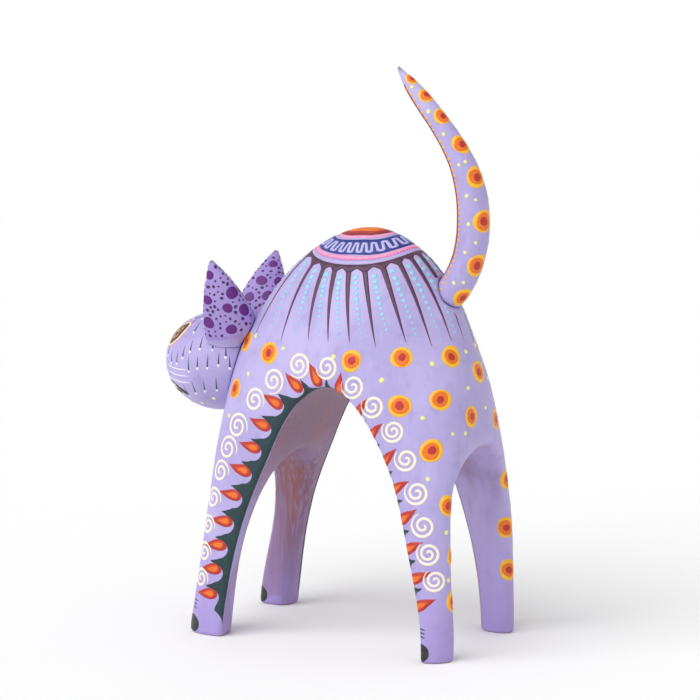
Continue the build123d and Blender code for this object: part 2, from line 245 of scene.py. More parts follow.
class Shader:
    """A Principled material with short ways to add nodes in object coordinates."""

    def __init__(self, name, roughness=0.5):
        self.material = bpy.data.materials.new(name)
        self.material.use_nodes = True
        self.tree = self.material.node_tree
        self.bsdf = self.tree.nodes["Principled BSDF"]
        self.bsdf.inputs["Roughness"].default_value = roughness
        self.place = self.tree.nodes.new("ShaderNodeTexCoord").outputs["Object"]

    def node(self, kind, wires, **settings):
        """New node with its sockets linked, or set to a number or a colour."""
        made = self.tree.nodes.new("ShaderNode" + kind)
        for key, value in settings.items():
            setattr(made, key, value)
        for socket, value in wires.items():
            self.wire(value, made.inputs[socket])
        return made

    def wire(self, value, socket):
        if isinstance(value, bpy.types.NodeSocket):
            self.tree.links.new(value, socket)
        else:
            socket.default_value = value

    def noise(self, size, detail=2.0, stretch=(1, 1, 1), twist=0.0):
        """Noise with features of a size in millimetres, drawn out where stretch is small."""
        mapping = self.node("Mapping", {"Scale": stretch, "Vector": self.place})
        wires = {"Vector": mapping.outputs["Vector"], "Scale": 1 / (size * METRE)}
        wires.update({"Detail": detail, "Distortion": twist})
        return self.node("TexNoise", wires).outputs["Fac"]

    def attribute(self, name):
        return self.node("Attribute", {}, attribute_name=name).outputs["Fac"]

    def ramp(self, value, low, high, to_low=0.0, to_high=1.0):
        """Smooth step of a value from low to high."""
        wires = {"Value": value, "From Min": low, "From Max": high, "To Min": to_low, "To Max": to_high}
        return self.node("MapRange", wires, interpolation_type="SMOOTHSTEP").outputs["Result"]

    def math(self, operation, a, b):
        return self.node("Math", {0: a, 1: b}, operation=operation).outputs[0]

    def times(self, a, b):
        return self.math("MULTIPLY", a, b)

    def mix(self, share, a, b):
        return self.node("Mix", {0: share, 6: a, 7: b}, data_type="RGBA").outputs[2]

    def coordinate(self, axis):
        """One coordinate of a point in millimetres."""
        return self.times(self.node("SeparateXYZ", {0: self.place}).outputs[axis], 1000.0)

    def bump(self, value, distance):
        """Relief of a height in millimetres."""
        made = self.node("Bump", {"Strength": 1.0, "Distance": distance * METRE, "Height": value})
        self.wire(made.outputs["Normal"], self.bsdf.inputs["Normal"])

    def finish(self, colour, rough=None):
        self.wire(colour, self.bsdf.inputs["Base Color"])
        if rough is not None:
            self.wire(rough, self.bsdf.inputs["Roughness"])
        return self.material


def wood_colour(shader):
    """Softwood grain that runs up the piece, with darker late wood."""
    grain = shader.noise(2.6, 4.0, (1, 1, 0.05), 0.6)
    fibre = shader.noise(0.5, 3.0, (1, 1, 0.04))
    colour = shader.mix(shader.ramp(grain, 0.42, 0.66), linear(WOOD), linear(WOOD_DARK))
    return shader.mix(shader.ramp(fibre, 0.35, 0.7, 0.0, 0.35), colour, linear(WOOD_DARK))


def bare_wood():
    """Sanded softwood, unpainted."""
    shader = Shader("bare_wood", 0.62)
    fibre = shader.noise(0.45, 3.0, (1, 1, 0.04))
    shader.bump(fibre, 0.05)
    return shader.finish(wood_colour(shader), shader.ramp(fibre, 0.3, 0.7, 0.55, 0.72))


def brushed(shader, tones=LAVENDER):
    """Lavender acrylic put on with a flat brush: thin washes, streaks and a few lighter dabs."""
    base, light, dark = (linear(tone) for tone in tones)
    wash = shader.noise(34, 3.0, (1, 1, 0.6))
    streak = shader.noise(1.5, 4.0, (1, 1, 0.07), 0.3)
    mottle = shader.noise(7, 3.0)
    colour = shader.mix(shader.ramp(wash, 0.36, 0.64), base, light)
    colour = shader.mix(shader.ramp(mottle, 0.5, 0.72, 0.0, 0.4), colour, dark)
    return shader.mix(shader.ramp(streak, 0.48, 0.78, 0.0, 0.45), colour, light)


def finish_brushed(shader, colour):
    """Bare wood in the holes, and bristle marks and the wood's pores under a thin coat."""
    colour = shader.mix(shader.ramp(shader.attribute("socket"), 0.42, 0.58), colour, wood_colour(shader))
    bristle = shader.noise(0.8, 4.0, (1, 1, 0.06), 0.2)
    shader.bump(shader.math("ADD", bristle, shader.times(shader.noise(0.5, 2.0), 0.4)), 0.05)
    return shader.finish(colour, shader.ramp(bristle, 0.3, 0.7, 0.44, 0.6))


def greyed_top(shader, colour, low, high, most):
    """Paint worn to grey-brown wood above a height, where the piece is handled."""
    level = shader.math("ADD", shader.coordinate("Z"), shader.times(shader.noise(1.6, 3.0), 3.0))
    return shader.mix(shader.ramp(level, low, high, 0.0, most), colour, linear(GREYED))


def body_paint():
    """Lavender that is darker towards the floor, with a brown wash in the arch and down the inner legs, and worn
    soles.
    """
    shader = Shader("painted_body")
    height = shader.coordinate("Z")
    # Darker towards the floor: the lavender is mixed 70 % with a darker tone at the soles, and not at all above 75
    # mm
    colour = shader.mix(shader.ramp(height, 2, 75, 0.7, 0.0), brushed(shader), linear(LOW_LAVENDER))
    grain = shader.noise(1.9, 3.0, (1, 1, 0.05))
    patches = shader.noise(19, 3.0, (1, 1, 0.35))
    wash = shader.mix(shader.ramp(patches, 0.52, 0.7, 0.0, 0.7), linear(STAIN), linear(RUST))
    wash = shader.mix(shader.ramp(grain, 0.52, 0.74, 0.0, 0.35), wash, linear(RUST))
    streaks = shader.times(shader.ramp(grain, 0.3, 0.7, 0.45, 1.0), shader.ramp(patches, 0.4, 0.6))

    # Inside the side arch: strong at its top, in streaks lower down and more so on the right legs
    right_leg = shader.times(shader.ramp(height, 4, 48, 0.3, 0.95), shader.ramp(grain, 0.25, 0.6, 0.5, 1.0))
    right_leg = shader.times(right_leg, shader.ramp(shader.coordinate("X"), -14, -26))
    strength = shader.math("MAXIMUM", shader.times(streaks, 0.65), shader.ramp(height, 52, 104))
    strength = shader.math("MAXIMUM", strength, right_leg)
    ragged = shader.times(shader.noise(2.4, 4.0, (1, 1, 0.5)), 2.4)
    depth = shader.math("ADD", shader.attribute("arch_depth"), ragged)
    colour = shader.mix(shader.times(shader.ramp(depth, 1.9, 3.1, 0.0, 0.88), strength), colour, wash)

    # On the walls between the left and the right legs, all the way down at the front
    rubbed = shader.math("ADD", shader.times(streaks, 0.5), 0.14)
    rubbed = shader.times(rubbed, shader.ramp(shader.attribute("between_legs"), 0.35, 1.0))
    front = shader.ramp(shader.coordinate("Y"), 20, 0)
    spared = shader.math("MAXIMUM", shader.ramp(height, 45, 95, 0.15, 1.0), front)
    colour = shader.mix(shader.times(rubbed, spared), colour, wash)

    # Bare wood along the rim of the soles
    level = shader.math("ADD", height, shader.times(shader.noise(2.2, 3.0), -1.9))
    colour = shader.mix(shader.ramp(level, -0.95, -0.25, 0.8, 0.0), colour, wood_colour(shader))
    return finish_brushed(shader, colour)


def head_paint():
    shader = Shader("painted_head")
    return finish_brushed(shader, brushed(shader))


def ear_paint():
    """Darker lavender that turns into the head's at the root."""
    shader = Shader("painted_ears")
    colour = greyed_top(shader, brushed(shader, EAR_LAVENDER), 190.2, 192.2, 0.8)
    colour = shader.mix(shader.ramp(shader.attribute("root"), 0.05, 0.3), colour, brushed(shader))
    return finish_brushed(shader, colour)


def tail_paint():
    shader = Shader("painted_tail")
    return finish_brushed(shader, greyed_top(shader, brushed(shader), 286.4, 289.4, 0.75))


def dab_paint(name, colour, second, rim=None):
    """Thick brushed paint, mottled towards its second colour and, if given, a rim colour."""
    rough = 0.4 if name == "black" else 0.46
    shader = Shader(name + "_paint", rough)
    cloud = shader.noise(1.9, 3.0)
    bristle = shader.noise(0.35, 3.0, (1, 1, 0.35))
    base = shader.mix(shader.ramp(cloud, 0.46, 0.74, 0.0, 0.5), linear(colour), linear(second))
    if rim:
        edge = shader.math("ADD", shader.attribute("rim"), shader.times(cloud, 0.35))
        base = shader.mix(shader.ramp(edge, 0.62, 1.08), base, linear(rim))
    base = shader.mix(shader.ramp(bristle, 0.35, 0.7, 0.0, 0.14), base, linear(BLACK))
    shader.bump(bristle, 0.03)
    return shader.finish(base, shader.ramp(bristle, 0.3, 0.7, rough - 0.06, rough + 0.1))


# ---------------------------------------------------------------- surfaces and places


def rows_at(s, stations, rows):
    """Row at s, from rows that are given at the stations."""
    return [float(np.interp(s, stations, column)) for column in rows.T]


def evened(rows, times):
    """Rows along a line, each drawn towards its two neighbours; the first and last stay."""
    for _ in range(times):
        rows[1:-1] = (rows[:-2] + 2 * rows[1:-1] + rows[2:]) / 4
    return rows


def mesh_tree(piece, unit):
    """Search tree of a mesh, with its places in a unit given in metres."""
    points = [v.co / unit for v in piece.data.vertices]
    return BVHTree.FromPolygons(points, [tuple(p.vertices) for p in piece.data.polygons])


def vertex_places(piece):
    """Places of a mesh's vertices in millimetres."""
    return np.array([v.co for v in piece.data.vertices]) / METRE


def plan_direction(degrees):
    """Level direction, in degrees from +X."""
    return Vector((math.cos(math.radians(degrees)), math.sin(math.radians(degrees)), 0))


def body_middle():
    """Y of the body's middle."""
    low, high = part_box("body")
    return (low.y + high.y) / 2 / METRE


class Surface:
    """A finished mesh that paint is laid on, in millimetres."""

    def __init__(self, piece):
        self.tree = mesh_tree(piece, METRE)

    def nearest(self, point):
        return self.tree.find_nearest(point)[:2]

    def cast(self, origin, direction):
        """Place and normal of a ray's first hit, or None."""
        place, normal, _, _ = self.tree.ray_cast(origin, direction)
        return None if place is None else (place, normal)

    def walk(self, point, normal, heading, distance):
        """Place and normal reached by walking along the surface in a direction."""
        strides = max(1, math.ceil(distance / STRIDE))
        for _ in range(strides):
            heading = (heading - normal * heading.dot(normal)).normalized()
            point, normal = self.nearest(point + heading * (distance / strides))
        return point, normal


class Spot:
    """A place on a surface, with a direction across and a direction up along it."""

    def __init__(self, surface, point, up=UP, turn=0.0, hand=1):
        self.surface = surface
        self.point, self.normal = surface.nearest(Vector(point))
        level = (up - self.normal * self.normal.dot(up)).normalized()
        self.up = Matrix.Rotation(hand * turn, 3, self.normal) @ level
        self.across = self.up.cross(self.normal) * hand

    def at(self, u, v):
        """Place and normal at a distance across and up, measured along the surface."""
        distance = math.hypot(u, v)
        if distance < 1e-4:
            return self.point, self.normal
        heading = (self.across * u + self.up * v) / distance
        return self.surface.walk(self.point, self.normal, heading, distance)

    def moved(self, u, v, hand=1):
        """Upright spot at a distance across and up."""
        return Spot(self.surface, self.at(u, v)[0], hand=hand)


class ArchEdge:
    """The edge of the side arch on one side of the body, from the front foot to the rear foot."""

    def __init__(self, surface, side):
        self.surface, self.side = surface, side
        origin = Vector((side * ARCH_PLANE_X, body_middle(), ARCH_CENTRE_Z))
        trace = []
        for degrees in np.arange(*ARCH_SWEEP):
            angle = math.radians(degrees)
            hit = surface.cast(origin, Vector((0, math.cos(angle), math.sin(angle))))
            if hit and hit[0].z > 0.3 and abs(hit[0].x) < 60:
                trace.append(hit[0])
        trace = np.array(trace)[:, 1:]
        steps = np.r_[0, np.cumsum(np.linalg.norm(np.diff(trace, axis=0), axis=1))]
        self.length = float(steps[-1])
        self.stations = np.arange(0.0, self.length, 1.0)
        self.line = evened(np.array([rows_at(s, steps, trace) for s in self.stations]), 24)
        starts = [self.rim_place(s) for s in self.stations]
        self.starts = evened(np.array([[*place, *normal] for place, normal in starts]), 16)

    def rim_place(self, s):
        """Place and normal where the flank turns into the arch."""
        point, away = self.outward(s)
        outside = point + away * 6 + Vector((self.side * 90, 0, 0))
        flank = self.surface.cast(outside, Vector((-self.side, 0, 0)))[0]
        return self.surface.nearest(Vector((flank.x, point.y, point.z)))

    def outward(self, s):
        """Point of the arch line and the direction away from the opening, in the side view."""
        point, ahead, behind = (rows_at(s + step, self.stations, self.line) for step in (0, 5, -5))
        along = Vector((0, ahead[0] - behind[0], ahead[1] - behind[1])).normalized()
        return Vector((0, *point)), Vector((0, -along.z, along.y))

    def at(self, s, d):
        """Place and normal at s along the edge and d away from the opening along the surface."""
        start = rows_at(s, self.stations, self.starts)
        heading = self.outward(s)[1] if d >= 0 else Vector((-self.side, 0, 0))
        return self.surface.walk(Vector(start[:3]), Vector(start[3:]).normalized(), heading, abs(d))

    def spot(self, s, d, turn=0.0):
        """Spot on the border whose up direction points away from the opening."""
        point, ahead = self.at(s, d)[0], self.at(s, d + 1.5)[0]
        return Spot(self.surface, point, ahead - point, turn, self.side)


class Back:
    """The arched back in distances from its top, in a direction given in degrees from +X."""

    def __init__(self, surface):
        self.surface = surface
        top = surface.cast(Vector((0, POLE_Y, ABOVE_ALL)), -UP)[0]
        self.centre = Vector((0, POLE_Y, top.z - 70))
        self.lines = {}

    def line(self, degrees):
        """Distances and places down the surface in one direction."""
        key = round(degrees, 2)
        if key not in self.lines:
            plan = plan_direction(key)
            places = []
            for climb in np.linspace(90, -4, 70):
                rise = math.radians(climb)
                heading = plan * math.cos(rise) + UP * math.sin(rise)
                places.append(self.surface.cast(self.centre, heading)[0])
            places = np.array(places)
            lengths = np.r_[0, np.cumsum(np.linalg.norm(np.diff(places, axis=0), axis=1))]
            self.lines[key] = (lengths, places)
        return self.lines[key]

    def at(self, degrees, distance):
        """Place and normal, or None under the tail's foot."""
        point = Vector(rows_at(distance, *self.line(degrees)))
        return None if (point - TAIL_SEAT).length < SEAT_RADIUS else self.surface.nearest(point)

    def at_height(self, degrees, z):
        """Distance from the top at which the surface has come down to a height."""
        lengths, places = self.line(degrees)
        return float(np.interp(-z, -places[:, 2], lengths))


def lengthwise(degrees):
    """0 towards the flanks and 1 towards the front and the rear."""
    return math.sin(math.radians(degrees)) ** 2


def ring(distance, degrees):
    """A ring's distance from the top in one direction."""
    return distance + RING_STRETCH * lengthwise(degrees)


def petal_top(degrees):
    """Distance from the top at which a petal's rounded end is."""
    return ring(PETAL_TOP, degrees) - 1.4 * lengthwise(degrees)


# ---------------------------------------------------------------- paint


def add_object(name, data):
    """New object in the scene."""
    made = bpy.data.objects.new(name, data)
    bpy.context.scene.collection.objects.link(made)
    return made


class Paint:
    """Thin raised dabs of paint that make one piece."""

    def __init__(self, part, name, *colours):
        self.name, self.body, self.slot = part + "_" + name, BODIES[part], SLOTS[part]
        self.materials = [inks[colour] for colour in colours]
        self.points, self.faces, self.slots, self.smooth, self.rims = [], [], [], [], []

    def sheet(self, grid, lifts, material=0, closed=False, centre=None, rims=None):
        """Adds rows of (place, normal) as a raised closed skin; None leaves a gap."""
        rows, columns = len(grid), len(grid[0])
        flat = [place for row in grid for place in row]
        heights = [h for row in lifts for h in (row if isinstance(row, list) else [row] * columns)]
        edge = [rim for rim in rims or [0.5] * rows for _ in range(columns)]
        quads = []
        for low in range(0, (rows - 1) * columns, columns):
            for j in range(columns if closed else columns - 1):
                k = (j + 1) % columns
                quads.append((low + j, low + k, low + columns + k, low + columns + j))
        if centre is not None:
            quads += [(len(flat), (j + 1) % columns, j) for j in range(columns)]
            flat.append(centre)
            heights.append(heights[0])
            edge.append(0.0)
        quads = [q for q in quads if all(flat[k] is not None for k in q)]
        if quads:
            self.skin(flat, heights, edge, quads, material)

    def skin(self, flat, heights, edge, quads, material):
        """Closes a sheet with an underside and a rim."""
        first = quads[0]
        a, b, c = (flat[k][0] for k in first[:3])
        if (b - a).cross(c - a).dot(flat[first[0]][1]) < 0:
            quads = [q[::-1] for q in quads]
        used = sorted({k for q in quads for k in q})
        top = {k: len(self.points) + n for n, k in enumerate(used)}
        low = {k: n + len(used) for k, n in top.items()}
        self.points += [flat[k][0] + flat[k][1] * heights[k] for k in used]
        self.points += [flat[k][0] - flat[k][1] * PAINT_SUNK for k in used]
        self.rims += [edge[k] for k in used] * 2
        for q in quads:
            self.face([top[k] for k in q], material, True)
            self.face([low[k] for k in reversed(q)], material, False)
        sides = dict.fromkeys(pair for q in quads for pair in zip(q, q[1:] + q[:1]))
        for a, b in sides:
            if (b, a) not in sides:
                self.face([top[b], top[a], low[a], low[b]], material, False)

    def face(self, corners, material, smooth):
        self.faces.append(corners)
        self.slots.append(material)
        self.smooth.append(smooth)

    def build(self):
        """Makes the piece and lets it ride on its CAD body."""
        mesh = bpy.data.meshes.new(self.name)
        mesh.from_pydata([p * METRE for p in self.points], [], self.faces)
        for material in self.materials:
            mesh.materials.append(material)
        mesh.polygons.foreach_set("material_index", self.slots)
        mesh.polygons.foreach_set("use_smooth", self.smooth)
        mesh.attributes.new("rim", "FLOAT", "POINT").data.foreach_set("value", self.rims)
        mesh.update()
        piece = add_object(self.name, mesh)
        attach(piece, self.body)

    def disc(self, spot, radius, lift=THICK, material=0, sides=24, wobble=0.045, outline=None, base=0.0):
        """A dab that falls off towards its slightly uneven edge."""
        first, second = random.uniform(0, 6.3), random.uniform(0, 6.3)
        angles = [2 * math.pi * k / sides for k in range(sides)]
        reach = []
        for a in angles:
            uneven = 1 + wobble * math.sin(2 * a + first) + 0.5 * wobble * math.sin(3 * a + second)
            reach.append(radius * uneven * (outline(a) if outline else 1.0))
        shares = (0.5, 0.88, 1.0) if radius < 2.5 else (0.34, 0.66, 0.9, 1.0)
        grid = []
        for s in shares:
            grid.append([spot.at(r * s * math.cos(a), r * s * math.sin(a)) for r, a in zip(reach, angles)])
        lifts = [base + lift] * (len(shares) - 1) + [base + EDGE]
        self.sheet(grid, lifts, material, True, (spot.point, spot.normal), shares)

    def bead(self, spot, radius, material=0, sides=12, wobble=0.08):
        """A small round dot that stands up."""
        self.disc(spot, radius, BEAD, material, sides, wobble)

    def stroke(self, place, line, widths, lift=THICK, material=0, base=0.0):
        """A brush stroke with a rounded top along a line of (u, v) points."""
        grid, lifts = [], []
        for n, (u, v) in enumerate(line):
            before, after = line[max(0, n - 1)], line[min(len(line) - 1, n + 1)]
            along = Vector((after[0] - before[0], after[1] - before[1])).normalized()
            x, y = -along.y, along.x
            grid.append([place(u + x * widths[n] * c, v + y * widths[n] * c) for c in (-1, -0.6, 0, 0.6, 1)])
            top = lift * (0.25 if n in (0, len(line) - 1) else 1.0)
            lifts.append([base + EDGE] + [base + top * h for h in (0.8, 1.0, 0.8)] + [base + EDGE])
        self.sheet(grid, lifts, material)


# ---------------------------------------------------------------- carved pieces


def smoothed(points, neighbours, times):
    """Points moved to the mean of their neighbours and themselves."""
    starts, ends = neighbours
    count = np.bincount(starts, minlength=len(points)).astype(float)
    for _ in range(times):
        total = np.stack([np.bincount(starts, column[ends], len(points)) for column in points.T], 1)
        points = 0.5 * points + 0.5 * total / count[:, None]
    return points


def mesh_neighbours(mesh):
    """Both ends of every edge, each way round."""
    edges = np.zeros(len(mesh.edges) * 2, int)
    mesh.edges.foreach_get("vertices", edges)
    edges = edges.reshape(-1, 2)
    return np.r_[edges[:, 0], edges[:, 1]], np.r_[edges[:, 1], edges[:, 0]]


def carved_copy(node, body):
    """Refined copy of a CAD node: even mesh, softened edges and a hand-carved surface."""
    source = frame["nodes"][node]
    raw = add_object("raw_" + node, source.data.copy())
    remesh = raw.modifiers.new("even", "REMESH")
    remesh.mode = "VOXEL"
    remesh.voxel_size = VOXELS[node] * METRE
    bpy.context.view_layer.update()
    mesh = bpy.data.meshes.new_from_object(raw.evaluated_get(bpy.context.evaluated_depsgraph_get()))
    bpy.data.objects.remove(raw)
    tree = mesh_tree(source, 1.0)
    points = np.array([v.co for v in mesh.vertices])
    neighbours = mesh_neighbours(mesh)
    for _ in range(2):
        points = smoothed(points, neighbours, 4)
        points = np.array([tree.find_nearest(Vector(p))[0] for p in points])
    points = smoothed(points, neighbours, 2)
    mesh.vertices.foreach_set("co", points.ravel())
    mesh.update()
    normals = np.array([v.normal for v in mesh.vertices])
    offsets = np.zeros(len(points))
    for size, height in CARVING_WAVES:
        offsets += [height * METRE * noise.noise(Vector(p) / (size * METRE)) for p in points]
    points += normals * offsets[:, None]
    points[:, 2] = np.maximum(points[:, 2], 0.0)
    mesh.vertices.foreach_set("co", points.ravel())
    mesh.materials.clear()
    mesh.name = "carved_" + node
    mesh.update()
    mesh.polygons.foreach_set("use_smooth", [True] * len(mesh.polygons))
    piece = add_object("carved_" + node, mesh)
    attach(piece, body)
    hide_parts(node)
    return piece


def mark(piece, name, values):
    """Stores one number for each vertex, for the material to read."""
    layer = piece.data.attributes.new(name, "FLOAT", "POINT")
    layer.data.foreach_set("value", np.asarray(values, np.float32))


def joint_axis(name):
    """Axis of a joint as a unit vector."""
    found = [j for j in frame["joints"] if j["name"] == name][0]
    return Vector(found["axis"]).normalized()


def feather_root(ear, axis, head):
    """Lets the ear's root run out thin against the head, and marks how far each vertex is in it."""
    points = vertex_places(ear)
    along = points @ np.array(axis)
    share = np.clip((along.max() - along - ROOT_FROM) / ROOT_LENGTH, 0.0, 1.0)
    share = share * share * (3 - 2 * share)
    for k in np.where(share > 0)[0]:
        place, normal = head.nearest(Vector(points[k]))
        offset = Vector(points[k]) - place
        gap = offset.length
        if gap < ROOT_THICKEST and offset.dot(normal) > 0:
            thin = ROOT_THIN + ROOT_SHARE * gap
            points[k] = place + offset.normalized() * (gap + (min(gap, thin) - gap) * share[k])
    ear.data.vertices.foreach_set("co", (points * METRE).ravel())
    ear.data.update()
    mark(ear, "root", share)


def mark_holes(piece, holes):
    """Marks the walls of each hole, given as (place on its axis, axis, radius, reach)."""
    points = vertex_places(piece)
    values = np.zeros(len(points))
    for place, axis, radius, reach in holes:
        offset = points - np.array(place)
        along = offset @ np.array(axis)
        away = np.linalg.norm(offset - along[:, None] * np.array(axis), axis=1)
        values[(away < radius) & (np.abs(along) < reach)] = 1.0
    mark(piece, "socket", values)


def mark_arch(piece, edges):
    """Marks how deep each vertex is in the side arch, and the walls between the legs."""
    points = vertex_places(piece)
    normals = np.array([v.normal for v in piece.data.vertices])
    depth = np.full(len(points), -9.0)
    on_arch = np.zeros(len(points), bool)
    for edge in edges:
        rims = np.array([edge.at(s, 0.0)[0] for s in edge.stations])
        for k in np.where(np.sign(points[:, 0]) == edge.side)[0]:
            gaps = np.hypot(edge.line[:, 0] - points[k, 1], edge.line[:, 1] - points[k, 2])
            nearest = int(np.argmin(gaps))
            inward = abs(rims[nearest, 0]) - abs(points[k, 0])
            on_arch[k] = gaps[nearest] < WALL_DEPTH + 0.03 * max(inward, 0.0) and inward > 0
            depth[k] = inward if on_arch[k] else -gaps[nearest]
    facing_in = (normals[:, 0] * np.sign(points[:, 0]) < -0.3) | (normals[:, 2] < -0.35)
    between = facing_in & (np.abs(points[:, 0]) < INNER_X) & (points[:, 2] > 4) & ~on_arch
    depth[between & (points[:, 1] < FRONT_Y)] = WALL_DEPTH
    neighbours = mesh_neighbours(piece.data)
    mark(piece, "arch_depth", smoothed(depth[:, None], neighbours, 5)[:, 0])
    mark(piece, "between_legs", smoothed(between.astype(float)[:, None], neighbours, 24)[:, 0])


# ---------------------------------------------------------------- decoration of the body


def band_grid(back, inner, outer, rows, columns):
    """Rows of places around the back between two rings, given as functions of the degrees."""
    around = [360 * j / columns for j in range(columns)]
    grid = []
    for share in (i / rows for i in range(rows + 1)):
        grid.append([back.at(a, inner(a) * (1 - share) + outer(a) * share) for a in around])
    return grid


def uneven_ring(distance, seed):
    """A ring painted freehand: its distance from the top wavers a little."""
    def reach(degrees):
        angle = math.radians(degrees)
        waver = 0.16 * math.sin(3 * angle + seed), 0.1 * math.sin(7 * angle + 2 * seed)
        return ring(distance, degrees) + waver[0] + waver[1]
    return reach


def paint_rings(back):
    """Cap, rings and the key pattern on top of the back."""
    names = ("orange", "red", "dark_red", "pink", "navy", "lilac", "hot_pink", "lavender_band")
    paint = Paint("body", "back_rings", *names)
    edges = [uneven_ring(d, k) for k, d in enumerate(RINGS)]
    cap = band_grid(back, lambda a: ring(1.2, a) * 0.4, edges[0], 3, 96)
    paint.sheet(cap, [THIN + 0.03] * 3 + [THIN], 0, True, back.at(0, 0))
    for inner, colour, lift in BANDS:
        rows = 5 if colour == "navy" else 2
        grid = band_grid(back, edges[inner], edges[inner + 1], rows, 180)
        paint.sheet(grid, [lift] * (rows + 1), names.index(colour), True)
    key_pattern(back, paint, names.index("lilac"))
    for degrees in (360 * k / 96 for k in range(96)):
        spot = Spot(back.surface, back.at(degrees, edges[7](degrees) - 0.25)[0])
        paint.disc(spot, random.uniform(0.36, 0.5), THIN, names.index("hot_pink"), 8, base=THIN)
    paint.build()


def key_pattern(back, paint, material):
    """Meander in a light colour on the navy ring."""
    step = 360 / KEY_PERIODS
    period = [(0, KEY_OUTER), (0.12, KEY_INNER), (0.5, KEY_INNER + 0.15), (0.56, KEY_OUTER)]
    period.append((0.94, KEY_OUTER + 0.1))
    line = [(k * step + share * step, d) for k in range(KEY_PERIODS) for share, d in period]
    line.append((360, KEY_OUTER))
    for first, last in zip(line, line[1:]):
        half = random.uniform(0.56, 0.68)
        steep = abs(last[1] - first[1]) > 1
        wide = (half / KEY_DEGREE, 0) if steep else (0, half)
        grid = []
        for t in (-0.06, 0.2, 0.5, 0.8, 1.06):
            u, v = (a + (b - a) * t for a, b in zip(first, last))
            row = [(u + wide[0] * c, v + wide[1] * c) for c in (-1, -0.5, 0.5, 1)]
            grid.append([back.at(a % 360, ring(d, a)) for a, d in row])
        paint.sheet(grid, [[THIN + EDGE, THIN + 0.1, THIN + 0.1, THIN + EDGE]] * 5, material)


def spike_pairs():
    """((ring, tip), (ring, tip)) degrees of each two neighbouring spikes round the back."""
    left = [(-90.0, -90.0)] + [(float(a), float(b)) for a, b in SPIKES]
    spikes = left + [(180.0 - a, 180.0 - b) for a, b in reversed(SPIKES)]
    return list(zip(spikes, spikes[1:] + spikes[:1]))


def paint_spikes(back):
    """Dark ring with round-topped petals cut out of it, and a long spike between each two petals."""
    paint = Paint("body", "back_spikes", "plum")
    inner, middle, outer = [], [], []
    for (start, _), (end, _) in spike_pairs():
        for k in range(PETAL_COLUMNS):
            degrees = start + (end - start) % 360 * k / PETAL_COLUMNS
            side = min(1.0, 1.14 * abs(2 * k / PETAL_COLUMNS - 1))
            arch = PETAL_RISE * (0.4 * side + 0.6 * (1 - math.sqrt(1 - side**2)))
            low, reach = ring(PLUM_INNER, degrees), petal_top(degrees) + arch
            inner.append(back.at(degrees, low - 0.8 * lengthwise(degrees)))
            middle.append(back.at(degrees, (low + reach) / 2))
            outer.append(back.at(degrees, reach))
    paint.sheet([inner, middle, outer], [THIN + 0.02] * 3, 0, True)
    for (start, tip), _ in spike_pairs():
        spike(back, paint, start, tip)
    paint.build()


def spike(back, paint, start, tip):
    """One long tapered stroke down from the ring."""
    top = petal_top(start) + 1.2
    bottom = back.at_height(tip, SPIKE_TIP_Z + random.uniform(-1.5, 2.5))
    half = random.uniform(1.15, 1.5)
    rows = []
    for share in (n / 30 for n in range(31)):
        degrees = start + (tip - start) * share**0.9
        distance = top + (bottom - top) * share
        centre, below = back.at(degrees, distance), back.at(degrees, distance + 1.0)
        if centre is None or below is None:
            rows.append([None] * 4)
            continue
        across = (below[0] - centre[0]).cross(centre[1]).normalized()
        width = half * (1 - share) ** 0.75 + 0.05
        rows.append([back.surface.nearest(centre[0] + across * width * c) for c in (-1, -0.35, 0.35, 1)])
    paint.sheet(rows, [[EDGE, THIN + 0.05, THIN + 0.05, EDGE]] * len(rows))


def paint_beads(back):
    """Turquoise dots that shrink down the middle of each petal."""
    paint = Paint("body", "back_beads", "turquoise")
    for (start, tip), (end, end_tip) in spike_pairs():
        wrap = 360 if end < start else 0
        start, tip = (start + end + wrap) / 2, (tip + end_tip + wrap) / 2
        top, bottom = petal_top(start) + 4.6, back.at_height(tip, SPIKE_TIP_Z + 3.5)
        for k in range(BEADS_PER_PETAL):
            share = k / (BEADS_PER_PETAL - 1)
            degrees = start + (tip - start) * share + random.uniform(-0.3, 0.3)
            place = back.at(degrees, top + (bottom - top) * share**0.93 + random.uniform(-0.25, 0.25))
            if place is not None:
                size = 1.45 - 1.0 * share + random.uniform(-0.12, 0.12)
                paint.disc(Spot(back.surface, place[0]), size, BEAD * (1 - 0.4 * share), 0, 12, 0.07)
    paint.build()


def teardrop(t):
    """Outline of a drop with its point up: t runs once round from the point."""
    half_width = DROP_WIDTH / 2 / 0.70
    return half_width * math.sin(t) * math.sin(t / 2) ** 1.5, DROP_LENGTH / 2 * math.cos(t)


def paint_drops(edges):
    """Drops along the arch, points away from the opening."""
    paint = Paint("body", "arch_drops", "red", "drop")
    for edge in edges:
        for s in (at_station(DROP_S, k) for k in range(DROP_COUNT)):
            drop(paint, edge.spot(s, at_station(DROP_D, s), DROP_TILT + random.uniform(-0.06, 0.06)))
    paint.build()


def drop(paint, spot):
    """Red drop with an orange one on it, bent a little towards its point."""
    size, bend = random.uniform(0.95, 1.04), random.uniform(-0.4, 0.9)
    shares = (0.4, 0.8, 1.0)
    for part, lift, base, material in ((1.0, THICK, 0.0, 0), (0.72, 0.1, THICK, 1)):
        grid = []
        for share in shares:
            row = []
            for u, v in (teardrop(2 * math.pi * (n + 0.5) / 30) for n in range(30)):
                v = DROP_HEART + (v - DROP_HEART) * share * part * size
                row.append(spot.at(u * share * part * size + bend * max(v, 0) ** 2 / 40, v))
            grid.append(row)
        lifts = [base + lift, base + lift, base + EDGE]
        paint.sheet(grid, lifts, material, True, spot.at(0, DROP_HEART), shares)


